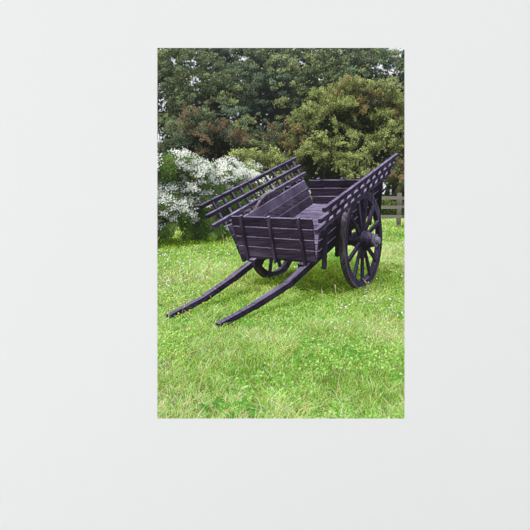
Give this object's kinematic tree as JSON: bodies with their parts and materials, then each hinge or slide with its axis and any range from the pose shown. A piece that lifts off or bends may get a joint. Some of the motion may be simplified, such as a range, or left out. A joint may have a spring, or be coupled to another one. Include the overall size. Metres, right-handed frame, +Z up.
{
  "type": "wall mural",
  "caption": "Thin flat rectangular sheet, two wide to three tall, with square corners: a self-adhesive printed wall mural with a plain adhesive back.",
  "frame": {"origin": "middle of the sheet's adhesive back, in the plane of the wall", "axes": "+Z up the sheet's long side, +Y out of its back into the wall, so the printed face looks along -Y, and +X to the right as seen from the front"},
  "size_m": [0.9144, 0.0006, 1.3716],
  "materials": {
    "printed_film": "matt printed film"
  },
  "bodies": {
    "root": {"mural_sheet": "printed_film"}
  },
  "joints": []
}
